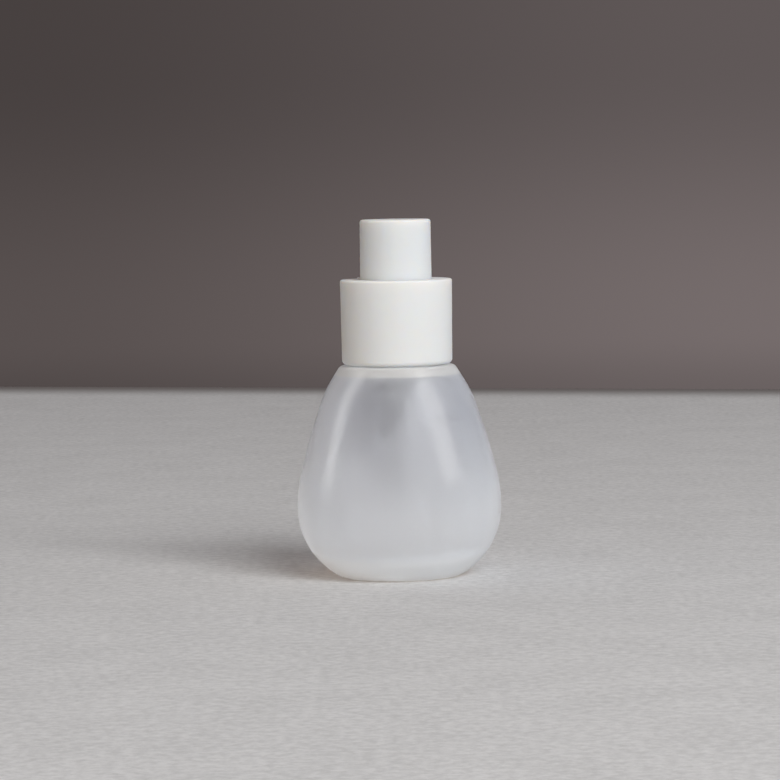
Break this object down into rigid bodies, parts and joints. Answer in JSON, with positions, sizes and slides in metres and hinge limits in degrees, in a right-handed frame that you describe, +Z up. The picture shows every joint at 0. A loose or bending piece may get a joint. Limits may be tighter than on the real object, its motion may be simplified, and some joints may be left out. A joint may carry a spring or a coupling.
{
  "type": "pump oil bottle",
  "caption": "Small pear-shaped frosted bottle with a smooth screw collar and a press-button finger pump that draws oil through a dip tube.",
  "frame": {"origin": "centre of the base, on the plane that the bottle stands on", "axes": "+Z up along the bottle's axis, +Y towards the outlet, away from the picture's camera, +X to the right in the picture"},
  "size_m": [0.0512, 0.0512, 0.0892],
  "materials": {
    "frosted_bottle": "frosted translucent",
    "white_closure": "satin",
    "natural_plastic": "natural, slightly translucent",
    "soft_plastic": "soft polyethylene",
    "tube_plastic": "translucent tube",
    "spring_steel": "drawn wire",
    "ball_steel": "polished"
  },
  "bodies": {
    "bottle": {"bottle": "frosted_bottle"},
    "pump": {"pump_housing": "natural_plastic", "stem_guide": "natural_plastic", "neck_gasket": "soft_plastic", "dip_tube": "tube_plastic", "return_spring": "spring_steel"},
    "collar": {"collar": "white_closure"},
    "plunger": {"poppet": "natural_plastic"},
    "head": {"stem": "natural_plastic", "button": "white_closure", "nozzle_insert": "white_closure"},
    "piston": {"piston": "soft_plastic"},
    "inlet_valve": {"inlet_ball": "ball_steel"}
  },
  "joints": [
    {"name": "pump_lift", "type": "slide", "parent": "bottle", "child": "pump", "axis": [0, 0, 1], "range_m": [0, 0.0075]},
    {"name": "collar_turn", "type": "hinge", "parent": "pump", "child": "collar", "pos_m": [0, 0, 0.06], "axis": [0, 0, 1], "range_deg": [0, 900]},
    {"name": "press", "type": "slide", "parent": "pump", "child": "plunger", "axis": [0, 0, -1], "range_m": [0, 0.006], "stiffness_N_per_m": 900, "springref_m": -0.004, "deforming": ["return_spring"]},
    {"name": "button_swivel", "type": "hinge", "parent": "plunger", "child": "head", "pos_m": [0, 0, 0.08], "axis": [0, 0, 1], "continuous": true},
    {"name": "piston_valve", "type": "slide", "parent": "plunger", "child": "piston", "axis": [0, 0, 1], "range_m": [0, 0.0008]},
    {"name": "inlet_ball_lift", "type": "slide", "parent": "pump", "child": "inlet_valve", "axis": [0, 0, 1], "range_m": [0, 0.0008]}
  ],
  "couplings": [
    {"joint": "pump_lift", "follows": "collar_turn", "m_per_rad": 0.00047746}
  ]
}
